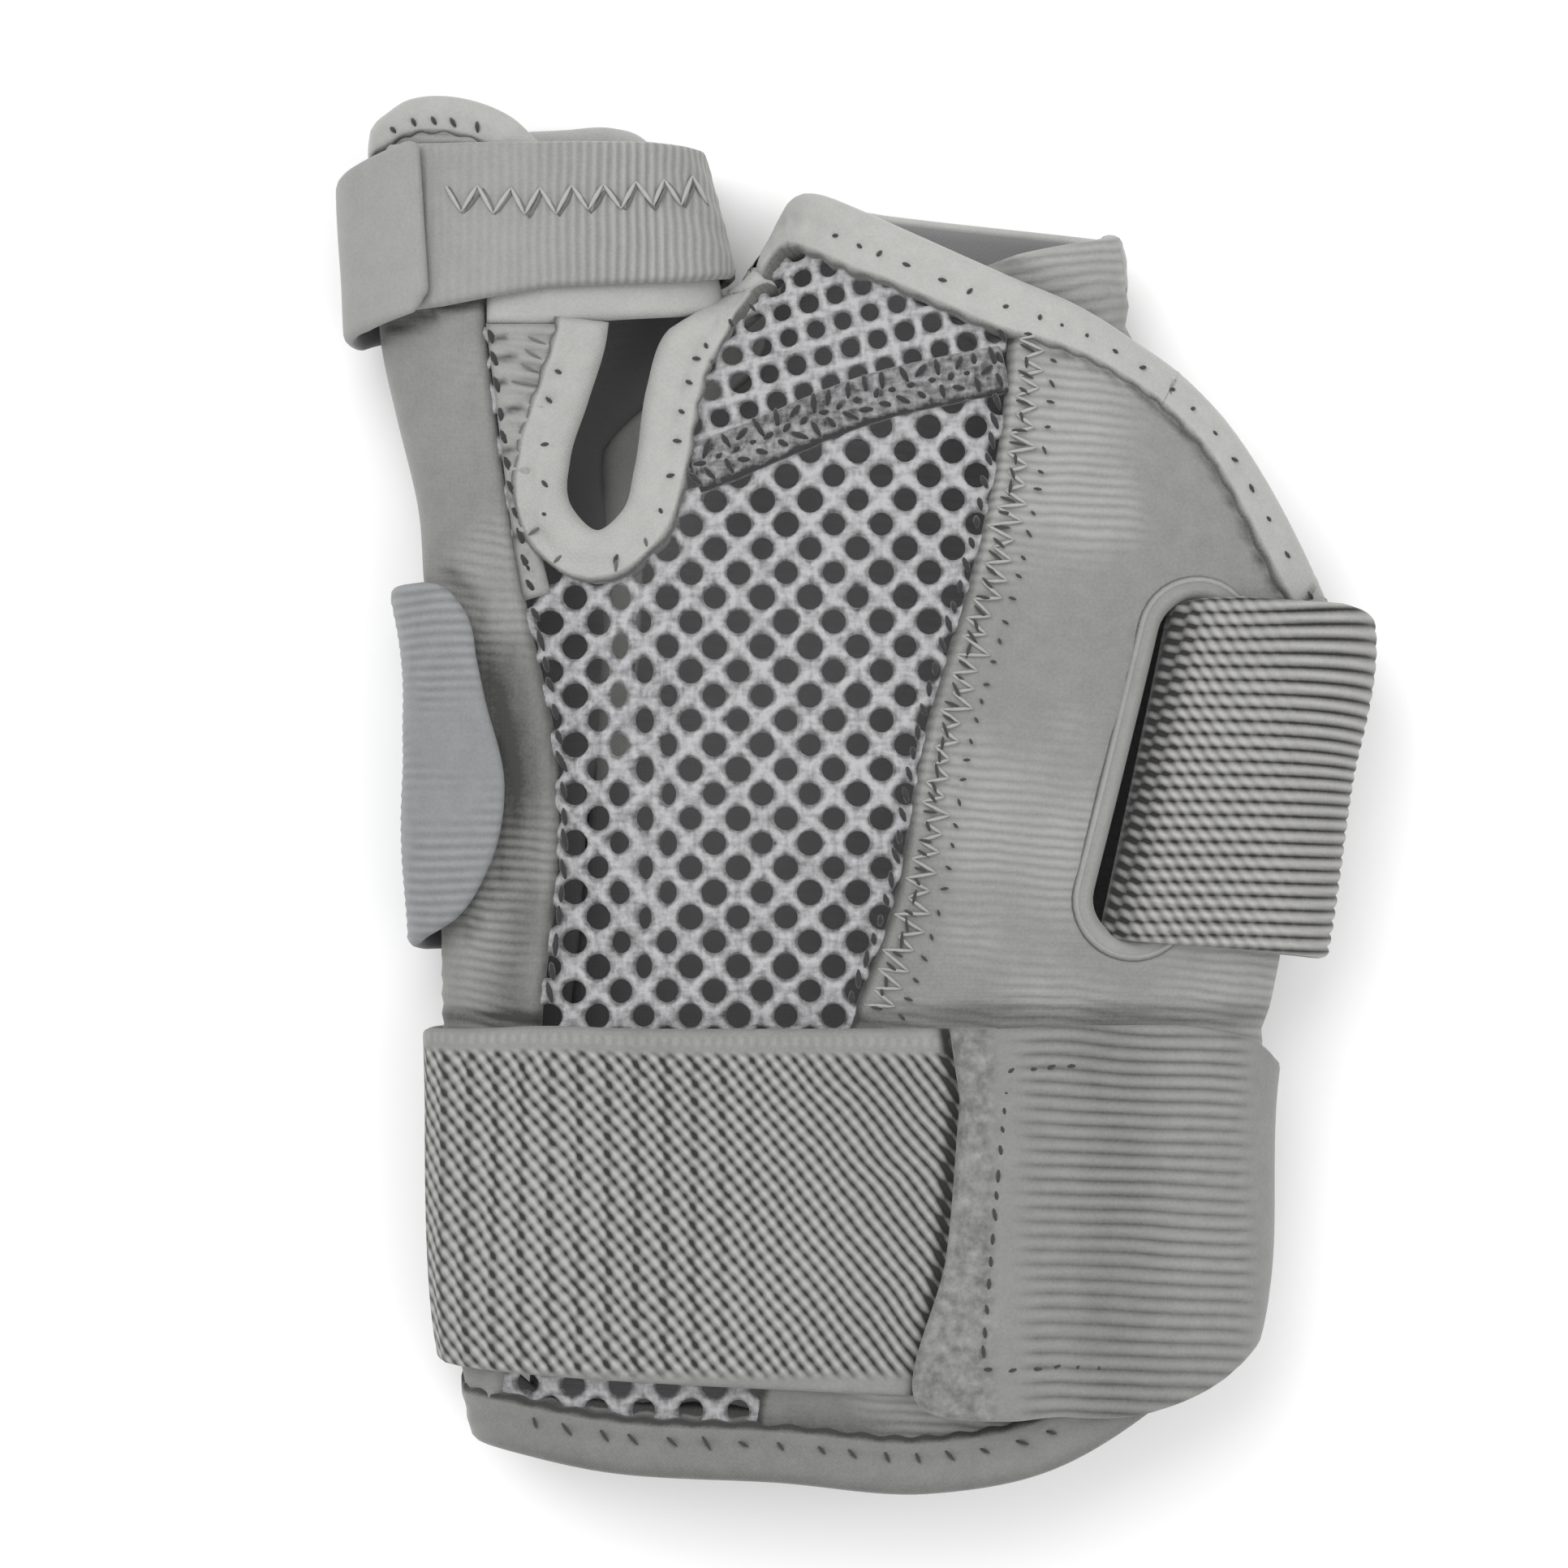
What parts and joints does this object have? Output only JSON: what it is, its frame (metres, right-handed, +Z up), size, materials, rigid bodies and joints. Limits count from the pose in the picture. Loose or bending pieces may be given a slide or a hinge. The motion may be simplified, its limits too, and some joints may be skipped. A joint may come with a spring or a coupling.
{
  "type": "thumb spica splint",
  "caption": "Soft thumb and wrist brace with a thumb sleeve, open palm net, bound edges and hook tabs, closed by a thumb, a palm and a wrist strap and lying on its back.",
  "frame": {"origin": "centre of the bounding box on the plane that the splint lies on", "axes": "+X across the hand away from the thumb, +Y towards the fingers, +Z up out of the palm"},
  "size_m": [0.128, 0.1706, 0.0348],
  "materials": {
    "panel": "brushed loop fabric over foam, grey",
    "tape": "smooth stretch binding tape, light grey",
    "net": "open air net, light grey strands",
    "rim": "smooth pressed edge, grey",
    "elastic": "ribbed woven elastic, grey",
    "hook": "brushed hook tab with fine ribs, grey"
  },
  "bodies": {
    "root": {"radial_gutter": "panel", "thumb_band": "tape", "thumb_binding": "tape", "palm_net": "net", "finger_net": "net", "palm_panel": "panel", "slot_rim": "rim", "web_binding": "tape", "finger_binding": "tape", "dorsal_panel": "panel", "dorsal_web_binding": "tape", "dorsal_finger_binding": "tape", "wrist_binding": "tape", "wrist_strap": "elastic", "wrist_strap_tab": "hook", "palm_strap": "elastic", "palm_strap_tab": "hook", "thumb_strap": "elastic", "thumb_strap_tab": "hook"}
  },
  "joints": []
}
